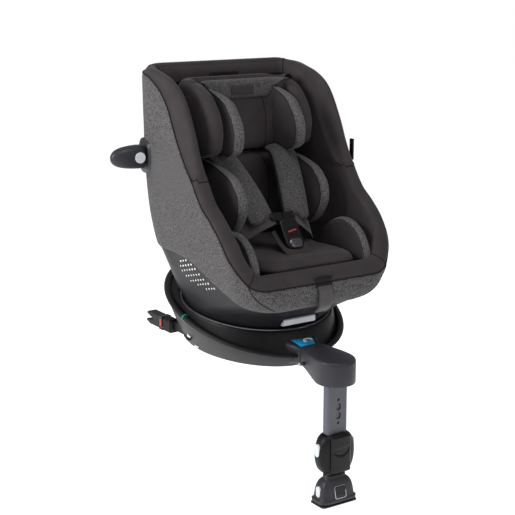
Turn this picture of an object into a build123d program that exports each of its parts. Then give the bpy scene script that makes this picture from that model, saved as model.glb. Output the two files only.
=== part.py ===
"""Convertible child car seat on a swivelling ISOFIX base with a folding support leg.

Millimetres. +Z is up, the seat faces -Y, and the origin is the middle of the base's flat underside.
The casings are lofted between a few outlines, and every piece of the real seat is its own solid.
"""
import os
from math import cos, radians, sin, sqrt

from build123d import *

# ---------------------------------------------------------------- driving dimensions
GAP = 0.3                                # clearance between pieces that move past each other

# base
BASE_FOOT = (131, 200)                   # half sizes of the flat underside (an ellipse)
RIM = (198, 224)                         # half sizes of the bowl's sloping rim
RIM_Y = -15                              # middle of the rim
RIM_Z = 107                              # rim height at its middle
RIM_SLOPE = 0.3                          # the rim rises towards the back
RIM_WALL = 14

# swivel
SWIVEL_Y = -24
SWIVEL_Z = 110
SWIVEL_TILT = 9.4                        # degrees that the swivel axis leans forward
RING_R = 172

# recline: the seat's underside is an arc about an axis above the seat
RECLINE_R = 330
RECLINE_H = 340                          # from the swivel plane up to the recline axis

# seat bucket: (height at the swivel centre, slope, half width, front, back, front and back radii)
BUCKET = [
    (140, 0.10, 174, -219, 137, 130, 130),
    (172, 0.05, 184, -276, 126, 80, 110),
    (205, 0.02, 197, -284, 122, 62, 105),
    (240, 0.00, 207, -284, 122, 60, 92),
    (300, 0.00, 214, -284, 129, 60, 78),
    (400, 0.00, 215, -284, 144, 60, 70),
    (640, 0.00, 213, -284, 152, 60, 62),
]
SEAT_TOP = 640
# cooling slots: y and z of each row's rearmost slot, and how many there are
VENT_ROWS = [(-25, 226, 3), (-18, 213, 5), (-18, 202, 6), (-30, 192, 6), (-43, 183, 6), (-73, 181, 5),
             (-107, 178, 4)]
VENT_PITCH = 13
VENT_SLOPE = 0.27                        # the rows rise towards the front
COVER = 5                                # outer fabric
SHELL = 5.5                              # moulded shell wall
LINING_OUT = 34                          # from the bucket's outside to the back of the lining
LINING_IN = 41                           # and to its front
SHELL_SPLIT = 262                        # lower and upper shell meet here
CUSHION_TOP = 212

# headrest
SLIDE_SLOPE = 0.0375                     # the back rest leans this much
HEADREST_BOTTOM = 446
HEADREST_TOP = 612

# support leg
LEG_PIVOT = (-257, 24)                   # y and z of the hinge pin
LEG_Y = -329
TUBE = (52, 23)
INNER_TUBE = (46, 17)
TUBE_WALL = 1.8
LEG_FLOOR = -272

# ISOFIX arms
ISO_X = 141
ISO_ARM_X = 137
ISO_Z = 36
ISO_TIP = 220

os.makedirs("parts", exist_ok=True)


def save(piece, name):
    """Label one finished piece and write it as its own file."""
    piece.label = name
    export_step(piece, f"parts/{name}.step")


def tilted(height, slope, forward=SWIVEL_Y):
    """A plane through (0, forward, height) that rises towards the back."""
    return Plane(origin=(0, forward, height), x_dir=(1, 0, 0), z_dir=(0, -slope, 1))


tilt = radians(SWIVEL_TILT)
swivel = Plane(
    origin=(0, SWIVEL_Y, SWIVEL_Z), x_dir=(1, 0, 0), z_dir=(0, -sin(tilt), cos(tilt))
)
recline_y = SWIVEL_Y - RECLINE_H * sin(tilt)
recline_z = SWIVEL_Z + RECLINE_H * cos(tilt)
side_plane = Plane.YZ


def bucket(inset, lowest=0):
    """The seat's outer form, drawn in by the inset, as one solid."""
    with BuildPart() as form:
        with BuildSketch(swivel.offset(3)):
            RectangleRounded(2 * (RING_R - 3 - inset), 2 * (RING_R - 3 - inset), RING_R - 5 - inset)
        for height, slope, half, front, back, front_r, back_r in BUCKET:
            with BuildSketch(tilted(height, slope)) as outline:
                with Locations((0, (front + back) / 2 - SWIVEL_Y)):
                    Rectangle(2 * (half - inset), back - front - 2 * inset)
                fillet(outline.vertices().group_by(Axis.Y)[0], max(front_r - inset, 12))
                fillet(outline.vertices().group_by(Axis.Y)[-1], max(back_r - inset, 12))
        loft(ruled=True)
        if lowest:
            split(bisect_by=Plane.XY.offset(lowest), keep=Keep.TOP)
    return form.part


def side_view(shift, bottom_line, top=SEAT_TOP):
    """Side outline of the covered seat: wing front edge, front lip and a lower line.

    The shift draws the front and top edges in."""
    with BuildPart() as slab:
        with BuildSketch(side_plane):
            with BuildLine():
                edge = [
                    (76 + shift, top - shift),
                    (-8 + shift, 597 - shift),
                    (-73 + shift, 528),
                    (-107 + shift, 422),
                    (-173 + shift, 347 - shift),
                    (-246 + shift, 293 - shift),
                    (-292 + shift, 222),
                ]
                Spline(*edge, tangents=[(-1, -0.25), (-0.3, -1)])
                Polyline(edge[-1], *bottom_line, (190, top - shift), edge[0])
            make_face()
        extrude(amount=260, both=True)
    return slab.part


def beyond_arc(radius):
    """Everything outside the recline arc and behind the seat's front lip."""
    with BuildPart() as room:
        with BuildSketch(side_plane):
            with Locations((-20, 150)):
                Rectangle(2 * 187.5, 300)
            with Locations((recline_y, recline_z)):
                Circle(radius, mode=Mode.SUBTRACT)
        extrude(amount=260, both=True)
    return room.part


def front_opening(shift):
    """The dip between the wings at the front lip, to be cut out of the bucket's front wall."""
    with BuildPart() as dip:
        with BuildSketch(Plane.XZ.offset(222)):
            with Locations((0, 420 + CUSHION_TOP + 4 - shift)):
                RectangleRounded(336 + 2 * shift, 840, 56)
        extrude(amount=100)
    return dip.part


print("recline axis y", round(recline_y, 2), "z", round(recline_z, 2))

outside = bucket(0)
cover_inside = bucket(COVER)
shell_outside = bucket(COVER + GAP)
shell_inside = bucket(COVER + GAP + SHELL)
foam_outside = bucket(COVER + 2 * GAP + SHELL)
foam_inside = bucket(LINING_OUT - GAP)
lining_outside = bucket(LINING_OUT)
lining_inside = bucket(LINING_IN)
cushion_outside = bucket(LINING_IN + GAP)

HEM = [
    (-300, 150), (-240, 146), (-218, 178), (-176, 193), (-137, 210), (-88, 233), (-18, 242), (60, 246),
    (190, 248),
]
FLOOR_LINE = [(-300, CUSHION_TOP), (190, CUSHION_TOP)]
covered = side_view(0, HEM)
shell_side = side_view(26, [(-285, 100), (-285, 0), (190, 0)])
foam_side = side_view(28, [(-285, 212.5), (190, 212.5)])
lining_side = side_view(5, FLOOR_LINE)
seat_room = beyond_arc(RECLINE_R)
saddle_room = beyond_arc(RECLINE_R + 0.6)
dip = front_opening(0)
shell_dip = front_opening(4)

# ---------------------------------------------------------------- base
rim_plane = tilted(RIM_Z, RIM_SLOPE, RIM_Y)
rim_stretch = sqrt(1 + RIM_SLOPE**2)


def leg_mount_outline(clearance):
    """Side view of the steel lug that carries the leg's hinge pin."""
    y, z = LEG_PIVOT
    with BuildSketch(side_plane) as lug:
        with Locations((y, z)):
            Circle(11 + clearance)
        with Locations((y + 22, z)):
            Rectangle(44 + 2 * clearance, 22 + 2 * clearance)
    return lug.sketch


lug_side = leg_mount_outline(0)
lug_pocket = leg_mount_outline(0.05)

with BuildPart() as base_shell:
    with BuildSketch():
        Ellipse(*BASE_FOOT)
    with BuildSketch(rim_plane):
        Ellipse(RIM[0], RIM[1] * rim_stretch)
    loft()
    with BuildSketch(Plane.XY.offset(14)):
        Ellipse(BASE_FOOT[0] - 9, BASE_FOOT[1] - 12)
    with BuildSketch(rim_plane.offset(0.01)):
        Ellipse(RIM[0] - RIM_WALL, (RIM[1] - RIM_WALL) * rim_stretch)
    loft(mode=Mode.SUBTRACT)
    # nose that carries the support leg
    with BuildSketch(side_plane):
        with BuildLine():
            Polyline((-239.5, 15), (-241, 30), (-241, 56), (-196, 62), (-186, 14.5), (-200, 2), close=True)
        make_face()
    extrude(amount=30, both=True)
    # recess for the bottom plate
    with BuildSketch():
        Ellipse(BASE_FOOT[0] - 8, BASE_FOOT[1] - 12)
    extrude(amount=4, mode=Mode.SUBTRACT)
    # channels for the two arm guides
    for side in (-1, 1):
        with Locations((side * ISO_ARM_X, 2, ISO_Z + 2)):
            Box(18, 106, 26, mode=Mode.SUBTRACT)
        with Locations((side * ISO_ARM_X, 92, ISO_Z + 2)):
            Box(13, 80, 21, mode=Mode.SUBTRACT)
        with Locations((side * ISO_X, 100, ISO_Z)):
            Box(28, 53, 36, mode=Mode.SUBTRACT)
        with Locations((side * 156, 14, ISO_Z + 3)):
            Box(18, 14.6, 12.6, mode=Mode.SUBTRACT)
    # pocket for the leg's steel lug
    add(extrude(lug_pocket, amount=18.05, both=True, mode=Mode.PRIVATE), mode=Mode.SUBTRACT)
save(base_shell.part, "base_shell")

with BuildPart() as base_bottom_plate:
    with BuildSketch():
        Ellipse(BASE_FOOT[0] - 8, BASE_FOOT[1] - 12)
    extrude(amount=4)
    with Locations(Plane.XY):
        with PolarLocations(110, 6, 30):
            CounterBoreHole(2.1, 4, 1.5)
save(base_bottom_plate.part, "base_bottom_plate")

with BuildPart() as base_screws:
    with BuildSketch(Plane.XY.offset(0.6)):
        with PolarLocations(110, 6, 30):
            Circle(2)
    extrude(amount=3.3)
    with BuildSketch(Plane.XY.offset(2.8)):
        with PolarLocations(110, 6, 30):
            Circle(3.6)
    extrude(amount=1.1)
save(base_screws.part, "base_screws")

with BuildPart() as leg_mount_lug:
    add(extrude(lug_side, amount=18, both=True, mode=Mode.PRIVATE))
    with Locations(Location((0, *LEG_PIVOT), (0, 90, 0))):
        Hole(4.2)
save(leg_mount_lug.part, "leg_mount_lug")

with BuildPart() as bearing_race:
    with BuildSketch(Plane.XY.offset(14)):
        with Locations((0, SWIVEL_Y)):
            Circle(112)
            Circle(92, mode=Mode.SUBTRACT)
    extrude(amount=120)
    split(bisect_by=swivel.offset(-22.5), keep=Keep.BOTTOM)
save(bearing_race.part, "bearing_race")

with BuildPart() as isofix_guides:
    for side in (-1, 1):
        with Locations((side * ISO_ARM_X, 2, ISO_Z + 2)):
            Box(17.6, 105, 25.6)
            Box(12.8, 106, 20.8, mode=Mode.SUBTRACT)
save(isofix_guides.part, "isofix_guides")

# ---------------------------------------------------------------- ISOFIX arms
jaw_y = ISO_TIP - 26                     # middle of the anchor bar when it is fully home


def isofix_side(side, word):
    """One ISOFIX arm: bar, connector casing, hook, release slider and adjust button."""
    with BuildPart() as arm:
        with Locations((side * ISO_ARM_X, 86, ISO_Z + 2)):
            Box(12, 142, 20)
    save(arm.part, f"isofix_arm_{word}")

    with BuildPart() as connector:
        with BuildSketch(side_plane.offset(side * ISO_X - 11)):
            with BuildLine():
                Polyline(
                    (157.3, 21), (204, 21), (ISO_TIP, 26), (ISO_TIP, 31), (jaw_y + 6, 33),
                    (jaw_y, 33),
                )
                RadiusArc((jaw_y, 33), (jaw_y, 39.4), 3.2)
                Polyline((jaw_y, 39.4), (jaw_y + 6, 39.4), (ISO_TIP, 46), (212, 51), (157.3, 51), (157.3, 21))
            make_face()
        extrude(amount=22)
        # slot in which the hook turns
        with Locations((side * ISO_X, jaw_y - 6, 32.5)):
            Box(7, 44, 23.2, mode=Mode.SUBTRACT)
    save(connector.part, f"isofix_connector_{word}")

    with BuildPart() as hook:
        with BuildSketch(side_plane.offset(side * ISO_X - 3)):
            with Locations((jaw_y + 10, 27)):
                Circle(3.2)
            with Locations((jaw_y + 3, 27)):
                Rectangle(14, 5.2)
        extrude(amount=6)
    save(hook.part, f"isofix_hook_{word}")

    with BuildPart() as release:
        with Locations((side * ISO_X, 149.5, ISO_Z)):
            Box(25, 15, 33)
        with Locations((side * ISO_X, 149.5, ISO_Z)):
            Box(22.8, 16, 31, mode=Mode.SUBTRACT)
        fillet(release.edges().filter_by(Axis.Y).group_by(Axis.X)[0], 1)
    save(release.part, f"isofix_release_{word}")

    with BuildPart() as button:
        with Locations((side * 153.4, 14, ISO_Z + 3)):
            Box(6.4, 14, 12)
        fillet(button.edges().filter_by(Axis.X), 3)
    save(button.part, f"isofix_adjust_button_{word}")


isofix_side(-1, "right")
isofix_side(1, "left")

# ---------------------------------------------------------------- support leg
pivot_y, pivot_z = LEG_PIVOT
with BuildPart() as leg_bracket:
    with BuildSketch(side_plane):
        with BuildLine():
            Polyline(
                (-243, 17), (-241.4, 32), (-241.4, 55), (-300, 57), (-380, 50), (-380, -5), (-312, -5),
                (-262, 9), close=True,
            )
        make_face()
    extrude(amount=43, both=True)
    with BuildSketch(Plane.XY.offset(-20)):
        with Locations((0, LEG_Y + 40)):
            Rectangle(86, 96)
        with Locations((0, LEG_Y)):
            Circle(43)
    extrude(amount=100, mode=Mode.INTERSECT)
    # room for the steel lug through the whole fold
    with Locations((0, pivot_y + 4, 12)):
        Box(36.8, 38, 50, mode=Mode.SUBTRACT)
    with Locations(Location((0, pivot_y, pivot_z), (0, 90, 0))):
        Hole(4)
    with Locations((0, LEG_Y, 18)):
        Box(TUBE[0] + 0.2, TUBE[1] + 0.2, 50, mode=Mode.SUBTRACT)
save(leg_bracket.part, "leg_bracket")

with BuildPart() as leg_hinge_pin:
    with BuildSketch(side_plane.offset(-42)):
        with Locations((pivot_y, pivot_z)):
            Circle(3.95)
    extrude(amount=84)
save(leg_hinge_pin.part, "leg_hinge_pin")

with BuildPart() as leg_outer_tube:
    with BuildSketch(Plane.XY.offset(-186)):
        with Locations((0, LEG_Y)):
            RectangleRounded(*TUBE, 7)
            RectangleRounded(TUBE[0] - 2 * TUBE_WALL, TUBE[1] - 2 * TUBE_WALL, 5.5, mode=Mode.SUBTRACT)
    extrude(amount=228)
    # height-setting openings in the front face
    with BuildSketch(Plane.XZ.offset(-LEG_Y)):
        with Locations((0, -38), (0, -90)):
            Circle(3.2)
        with Locations((0, -54), (0, -74)):
            SlotOverall(17, 13, rotation=90)
    extrude(amount=20, mode=Mode.SUBTRACT)
save(leg_outer_tube.part, "leg_outer_tube")

with BuildPart() as leg_adjuster_housing:
    with BuildSketch(Plane.XZ.offset(-(LEG_Y + 22))):
        with Locations((0, -158)):
            RectangleRounded(92, 88, 34)
    extrude(amount=44)
    fillet(leg_adjuster_housing.edges().group_by(Axis.Y)[0], 8)
    with Locations((0, LEG_Y, -150)):
        Box(TUBE[0] + 0.2, TUBE[1] + 0.2, 72.2, mode=Mode.SUBTRACT)
    with Locations((0, LEG_Y, -190)):
        Box(INNER_TUBE[0] + 0.6, INNER_TUBE[1] + 0.6, 60, mode=Mode.SUBTRACT)
    for side in (-1, 1):
        with Locations((side * 39, LEG_Y, -147)):
            Box(18, 16.6, 29.6, mode=Mode.SUBTRACT)
save(leg_adjuster_housing.part, "leg_adjuster_housing")

for side, word in ((-1, "right"), (1, "left")):
    with BuildPart() as leg_button:
        with BuildSketch(side_plane.offset(side * 35)):
            with Locations((LEG_Y, -147)):
                SlotOverall(28, 15, rotation=90)
        extrude(amount=side * 12.5)
    save(leg_button.part, f"leg_button_{word}")

with BuildPart() as leg_inner_tube:
    with BuildSketch(Plane.XY.offset(-222)):
        with Locations((0, LEG_Y)):
            RectangleRounded(*INNER_TUBE, 5)
            RectangleRounded(INNER_TUBE[0] - 3.6, INNER_TUBE[1] - 3.6, 3.5, mode=Mode.SUBTRACT)
    extrude(amount=222)
save(leg_inner_tube.part, "leg_inner_tube")

with BuildPart() as foot_casing:
    with BuildSketch(Plane.XY.offset(-266)):
        with Locations((0, LEG_Y)):
            RectangleRounded(96, 52, 10)
    with BuildSketch(Plane.XY.offset(-216)):
        with Locations((0, LEG_Y)):
            RectangleRounded(62, 34, 8)
    loft()
    with BuildSketch(Plane.XY.offset(-216)):
        with Locations((0, LEG_Y)):
            RectangleRounded(56, 26, 6)
    extrude(amount=8)
    with Locations((0, LEG_Y, -212)):
        Box(INNER_TUBE[0] + 0.2, INNER_TUBE[1] + 0.2, 20, mode=Mode.SUBTRACT)
    with BuildSketch(Plane.XY.offset(-266)):
        with Locations((0, LEG_Y)):
            RectangleRounded(80, 36, 6)
    extrude(amount=9, mode=Mode.SUBTRACT)
    with Locations((0, LEG_Y - 22, -243)):
        Box(28.4, 8, 26.4, mode=Mode.SUBTRACT)
    for side in (-1, 1):
        with Locations((side * 44, LEG_Y, -242)):
            Box(16, 14.4, 24.4, mode=Mode.SUBTRACT)
save(foot_casing.part, "foot_casing")

with BuildPart() as foot_indicator:
    with Locations((0, LEG_Y - 21, -243)):
        Box(28, 6, 26)
    fillet(foot_indicator.edges().filter_by(Axis.Y), 4)
save(foot_indicator.part, "foot_indicator")

with BuildPart() as foot_side_caps:
    for side in (-1, 1):
        with BuildSketch(side_plane.offset(side * 36.4)):
            with Locations((LEG_Y, -242)):
                SlotOverall(24, 13.8, rotation=90)
        extrude(amount=side * 6.5)
save(foot_side_caps.part, "foot_side_caps")

with BuildPart() as foot_sole:
    with BuildSketch(Plane.XY.offset(LEG_FLOOR)):
        with Locations((0, LEG_Y)):
            RectangleRounded(94, 50, 9)
    extrude(amount=2)
    with BuildSketch(Plane.XY.offset(LEG_FLOOR + 2)):
        with Locations((0, LEG_Y)):
            RectangleRounded(79, 35, 5.5)
    extrude(amount=8)
save(foot_sole.part, "foot_sole")

# ---------------------------------------------------------------- turntable
with BuildPart() as turntable:
    with BuildSketch(swivel.offset(-22)):
        Circle(150)
    with BuildSketch(swivel.offset(-4)):
        Circle(RING_R - 1)
    loft()
    with BuildSketch(swivel.offset(-4)):
        Circle(RING_R - 2)
    extrude(amount=6.9)
    with BuildSketch(swivel.offset(-22)):
        Circle(86)
    extrude(amount=12, mode=Mode.SUBTRACT)
save(turntable.part, "turntable")

with BuildPart() as turntable_trim_ring:
    with BuildSketch(swivel.offset(-3.9)):
        Circle(RING_R + 1)
        Circle(RING_R - 1.9, mode=Mode.SUBTRACT)
    extrude(amount=6)
save(turntable_trim_ring.part, "turntable_trim_ring")

handle_y, handle_z = -190, 101
RELEASE = (58, 136)                      # y and z of the swivel release buttons
with BuildPart() as recline_saddle:
    add(shell_outside)
    add(saddle_room, mode=Mode.INTERSECT)
    split(bisect_by=Plane.XZ.offset(206), keep=Keep.BOTTOM)
    add(bucket(20, 150), mode=Mode.SUBTRACT)
    # recess for the recline handle
    with Locations((0, handle_y - 20, handle_z)):
        Box(92, 75, 22, mode=Mode.SUBTRACT)
    # recesses for the swivel release buttons
    for side in (-1, 1):
        with Locations((side * 148, *RELEASE)):
            Box(30, 24, 8, mode=Mode.SUBTRACT)
save(recline_saddle.part, "recline_saddle")

with BuildPart() as recline_handle:
    with Locations((0, handle_y + 1, handle_z)):
        Box(84, 18, 15)
    fillet(recline_handle.edges().filter_by(Axis.X), 4)
    with Locations((0, handle_y + 9, handle_z)):
        Box(60, 14, 8)
save(recline_handle.part, "recline_handle")

for side, word in ((-1, "right"), (1, "left")):
    with BuildPart() as swivel_release:
        with BuildSketch(side_plane.offset(side * 138)):
            with Locations(RELEASE):
                SlotOverall(23, 7)
        extrude(amount=side * 13)
    save(swivel_release.part, f"swivel_release_{word}")

# ---------------------------------------------------------------- seat shells
with BuildPart() as seat_lower_shell:
    add(shell_outside)
    add(shell_inside, mode=Mode.SUBTRACT)
    add(shell_side, mode=Mode.INTERSECT)
    add(shell_dip, mode=Mode.SUBTRACT)
    add(seat_room, mode=Mode.SUBTRACT)
    split(bisect_by=Plane.XY.offset(SHELL_SPLIT), keep=Keep.BOTTOM)
    split(bisect_by=swivel.offset(3.4), keep=Keep.TOP)
    # cooling openings in both sides
    with BuildSketch(side_plane):
        for rearmost, level, count in VENT_ROWS:
            for k in range(count):
                with Locations((rearmost - VENT_PITCH * k, level + VENT_SLOPE * VENT_PITCH * k)):
                    SlotOverall(8.5, 4.4, rotation=-15)
    extrude(amount=230, both=True, mode=Mode.SUBTRACT)
save(seat_lower_shell.part, "seat_lower_shell")

with BuildPart() as seat_shell:
    add(shell_outside)
    add(shell_inside, mode=Mode.SUBTRACT)
    add(shell_side, mode=Mode.INTERSECT)
    add(shell_dip, mode=Mode.SUBTRACT)
    split(bisect_by=Plane.XY.offset(SHELL_SPLIT + 0.05), keep=Keep.TOP)
save(seat_shell.part, "seat_shell")

with BuildPart() as seat_floor:
    add(foam_outside)
    add(shell_side, mode=Mode.INTERSECT)
    add(seat_room, mode=Mode.SUBTRACT)
    split(bisect_by=Plane.XY.offset(160), keep=Keep.TOP)
    split(bisect_by=Plane.XY.offset(182), keep=Keep.BOTTOM)
    with Locations((0, -262, 171)):
        Box(30, 40, 40, mode=Mode.SUBTRACT)
save(seat_floor.part, "seat_floor")

with BuildPart() as foam_liner:
    add(foam_outside)
    add(foam_inside, mode=Mode.SUBTRACT)
    add(foam_side, mode=Mode.INTERSECT)
    split(bisect_by=Plane.XZ.offset(225), keep=Keep.BOTTOM)
    # the left and right halves meet behind the child's back
    with Locations((0, 100, 450)):
        Box(0.6, 200, 600, mode=Mode.SUBTRACT)
save(foam_liner.part, "foam_liner")

# ---------------------------------------------------------------- soft covers and pads
with BuildPart() as seat_cover:
    add(outside)
    add(cover_inside, mode=Mode.SUBTRACT)
    add(covered, mode=Mode.INTERSECT)
    add(dip, mode=Mode.SUBTRACT)
save(seat_cover.part, "seat_cover")

with BuildPart() as cover_lining:
    add(lining_outside)
    add(lining_inside, mode=Mode.SUBTRACT)
    add(lining_side, mode=Mode.INTERSECT)
    add(dip, mode=Mode.SUBTRACT)
save(cover_lining.part, "cover_lining")

with BuildPart() as seat_cushion:
    add(cushion_outside)
    split(bisect_by=Plane.XY.offset(182.3), keep=Keep.TOP)
    split(bisect_by=Plane.XY.offset(CUSHION_TOP), keep=Keep.BOTTOM)
save(seat_cushion.part, "seat_cushion")

with BuildPart() as insert_back_pad:
    with BuildSketch(Plane.XY.offset(258)):
        with Locations((0, 50)):
            Rectangle(240, 44)
        with Locations((-122, -55), (122, -55)):
            Rectangle(22, 254)
    extrude(amount=180, dir=(0, 0.04, 1))
    with BuildSketch(side_plane):
        with BuildLine():
            Spline((0, 438), (-100, 428), (-160, 375), (-150, 325), (-60, 290), (0, 258.2))
            Polyline((0, 258.2), (90, 258.2), (99, 438), (0, 438))
        make_face()
    extrude(amount=200, both=True, mode=Mode.INTERSECT)
save(insert_back_pad.part, "insert_back_pad")

with BuildPart() as insert_seat_pad:
    with BuildSketch(Plane.XY.offset(CUSHION_TOP + 10)):
        with Locations((0, -97)):
            RectangleRounded(268, 310, 30)
    extrude(amount=24)
    for side in (-1, 1):
        with Locations((side * 146, -150, 266)):
            Box(24, 170, 84)
    with BuildSketch(side_plane):
        with BuildLine():
            Polyline((60, 222), (60, 252), (-70, 252))
            Spline((-70, 252), (-125, 296), (-205, 300), (-252, 240), tangents=[(-0.7, 1), (-0.2, -1)])
            Polyline((-252, 240), (-252, 222), (60, 222))
        make_face()
    extrude(amount=200, both=True, mode=Mode.INTERSECT)
save(insert_seat_pad.part, "insert_seat_pad")

# ---------------------------------------------------------------- harness
buckle_frame = Plane(origin=(0, -156, 284), x_dir=(1, 0, 0), z_dir=(0, -0.83, 0.56))
with BuildPart() as buckle_housing:
    with BuildSketch(buckle_frame.offset(-11)):
        RectangleRounded(46, 72, 12)
    extrude(amount=22)
    with BuildSketch(buckle_frame.offset(6)):
        with Locations((0, 4)):
            RectangleRounded(32.6, 36.6, 5)
    extrude(amount=6, mode=Mode.SUBTRACT)
    with BuildSketch(buckle_frame.offset(-3)):
        with Locations((0, 27)):
            Rectangle(36, 24)
    extrude(amount=6, mode=Mode.SUBTRACT)
save(buckle_housing.part, "buckle_housing")

with BuildPart() as buckle_button:
    with BuildSketch(buckle_frame.offset(9)):
        with Locations((0, 4)):
            RectangleRounded(32, 36, 5)
    extrude(amount=4)
save(buckle_button.part, "buckle_button")

with BuildPart() as crotch_strap:
    with BuildSketch(buckle_frame.offset(-1)):
        with Locations((0, -39.7)):
            Rectangle(38, 6.6)
    extrude(amount=3)
save(crotch_strap.part, "crotch_strap")

for side, word in ((-1, "right"), (1, "left")):
    with BuildPart() as tongue:
        with BuildSketch(buckle_frame.offset(-1.5)):
            with Locations((side * 8.9, 28)):
                Rectangle(16.6, 20)
            with Locations((side * 16, 46)):
                RectangleRounded(30, 18, 4)
        extrude(amount=3)
    save(tongue.part, f"tongue_{word}")

with BuildPart() as lap_straps:
    for side in (-1, 1):
        strap_plane = Plane(
            origin=(side * 74, -118, 290), x_dir=(side * 0.92, 0.34, -0.16), z_dir=(0, -0.43, 0.9)
        )
        with BuildSketch(strap_plane):
            Rectangle(62, 30)
        extrude(amount=3)
save(lap_straps.part, "lap_straps")

pull_strap = Plane(origin=(0, -287.2, 172), x_dir=(1, 0, 0), z_dir=(0, -1, 0))
with BuildPart() as adjuster_strap:
    with BuildSketch(pull_strap):
        Rectangle(34, 46)
    extrude(amount=3)
save(adjuster_strap.part, "adjuster_strap")

with BuildPart() as adjuster_button:
    with BuildSketch(Plane.XY.offset(CUSHION_TOP + 0.4)):
        with Locations((0, -266)):
            SlotOverall(34, 13)
    extrude(amount=5)
save(adjuster_button.part, "adjuster_button")

# ---------------------------------------------------------------- headrest
slide = (0, SLIDE_SLOPE, 1)
height = HEADREST_TOP - HEADREST_BOTTOM


def headrest_wing(top_shift, points):
    """Side outline of a headrest layer, with a curved front edge."""
    with BuildPart() as slab:
        with BuildSketch(side_plane):
            with BuildLine():
                Spline(*points)
                Polyline(points[-1], (120, points[-1][1]), (120, HEADREST_TOP - top_shift), points[0])
            make_face()
        extrude(amount=200, both=True)
    return slab.part


pad_side = headrest_wing(0, [(60, 612), (-5, 601), (-48, 576), (-77, 520), (-78, 487), (-43, 446)])
insert_side = headrest_wing(18, [(10, 594), (-40, 572), (-92, 516), (-97, 458), (-50, 446)])

with BuildPart() as headrest_shell:
    with BuildSketch(Plane.XY.offset(HEADREST_BOTTOM)):
        with Locations((0, 96)):
            Rectangle(270, 7)
    extrude(amount=height - 10, dir=slide)
save(headrest_shell.part, "headrest_shell")

with BuildPart() as headrest_pad:
    with BuildSketch(Plane.XY.offset(HEADREST_BOTTOM)):
        with Locations((0, 76)):
            Rectangle(300, 32)
        with Locations((-131, 0), (131, 0)):
            Rectangle(38, 180)
    extrude(amount=height, dir=slide)
    add(pad_side, mode=Mode.INTERSECT)
save(headrest_pad.part, "headrest_pad")

with BuildPart() as head_insert:
    with BuildSketch(Plane.XY.offset(HEADREST_BOTTOM)):
        with Locations((0, 46)):
            Rectangle(222, 26)
        with Locations((-90, -25), (90, -25)):
            Rectangle(42, 150)
    extrude(amount=height - 18, dir=slide)
    add(insert_side, mode=Mode.INTERSECT)
save(head_insert.part, "head_insert")

with BuildPart() as headrest_release:
    with BuildSketch(Plane.XY.offset(HEADREST_TOP - 8)):
        with Locations((0, 104.3)):
            RectangleRounded(74, 9, 4)
    extrude(amount=14)
save(headrest_release.part, "headrest_release")

for side, word in ((-1, "right"), (1, "left")):
    top = Vector(side * 66, -38, 428)
    low = Vector(side * 40.4, -121.5, 306.5)
    run = top - low
    outward = Vector(1, 0, 0).cross(run)
    with BuildPart() as shoulder_pad:
        with BuildSketch(Plane(origin=(top + low) * 0.5, x_dir=run, z_dir=outward)):
            Rectangle(run.length, 62)
        extrude(amount=8, both=True)
    save(shoulder_pad.part, f"shoulder_pad_{word}")

# ---------------------------------------------------------------- side impact pod
pod_y, pod_z = 95, 444
with BuildPart() as pod_socket:
    with BuildSketch(side_plane.offset(-210)):
        with Locations((pod_y, pod_z)):
            RectangleRounded(62, 76, 18)
    with BuildSketch(side_plane.offset(-219)):
        with Locations((pod_y, pod_z)):
            RectangleRounded(50, 60, 16)
    loft()
    add(outside, mode=Mode.SUBTRACT)
save(pod_socket.part, "pod_socket")

with BuildPart() as side_pod:
    with BuildSketch(side_plane.offset(-219.3)):
        with Locations((pod_y, pod_z)):
            RectangleRounded(42, 52, 14)
    with BuildSketch(side_plane.offset(-280)):
        with Locations((pod_y, pod_z)):
            RectangleRounded(38, 47, 14)
    with BuildSketch(side_plane.offset(-300)):
        with Locations((pod_y, pod_z)):
            RectangleRounded(22, 28, 9)
    loft()
    with Locations(Location((-238, pod_y - 12, pod_z), (90, 0, 0))):
        Hole(12.4, 16)
save(side_pod.part, "side_pod")

with BuildPart() as pod_button:
    with BuildSketch(Plane.XZ.offset(-pod_y + 18)):
        with Locations((-238, pod_z)):
            Circle(12)
    extrude(amount=5)
save(pod_button.part, "pod_button")

with BuildPart() as strap_guide:
    with Locations((217.6, -92, 447)):
        Box(4, 12, 48)
save(strap_guide.part, "strap_guide")
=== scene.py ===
"""Looks of the child car seat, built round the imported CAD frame.

Metres, in the frame of the CAD model: +Z up, the seat faces -Y, the child's right is -X.
"""

import math

import bmesh
import bpy
import numpy as np
from mathutils import Matrix, Vector
from mathutils.bvhtree import BVHTree


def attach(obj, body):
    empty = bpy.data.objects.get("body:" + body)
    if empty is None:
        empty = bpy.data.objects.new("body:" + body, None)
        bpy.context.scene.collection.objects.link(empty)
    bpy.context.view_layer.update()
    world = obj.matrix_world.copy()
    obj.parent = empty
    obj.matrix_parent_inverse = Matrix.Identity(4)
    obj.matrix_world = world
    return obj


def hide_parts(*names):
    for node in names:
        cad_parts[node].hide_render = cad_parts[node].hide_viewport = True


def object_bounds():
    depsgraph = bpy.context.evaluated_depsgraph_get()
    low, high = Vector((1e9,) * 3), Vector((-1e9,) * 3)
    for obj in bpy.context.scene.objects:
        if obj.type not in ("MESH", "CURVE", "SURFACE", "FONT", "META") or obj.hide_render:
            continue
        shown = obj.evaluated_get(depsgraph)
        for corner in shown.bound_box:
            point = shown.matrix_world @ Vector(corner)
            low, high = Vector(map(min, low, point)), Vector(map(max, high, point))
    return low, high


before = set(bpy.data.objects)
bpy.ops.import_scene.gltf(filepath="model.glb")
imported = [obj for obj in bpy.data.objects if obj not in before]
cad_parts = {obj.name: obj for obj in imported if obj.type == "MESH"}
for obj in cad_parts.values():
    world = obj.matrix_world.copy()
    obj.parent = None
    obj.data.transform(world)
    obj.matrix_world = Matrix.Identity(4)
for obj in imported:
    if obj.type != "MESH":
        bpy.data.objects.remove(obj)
cad_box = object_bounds()
MM = 0.001

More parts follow.
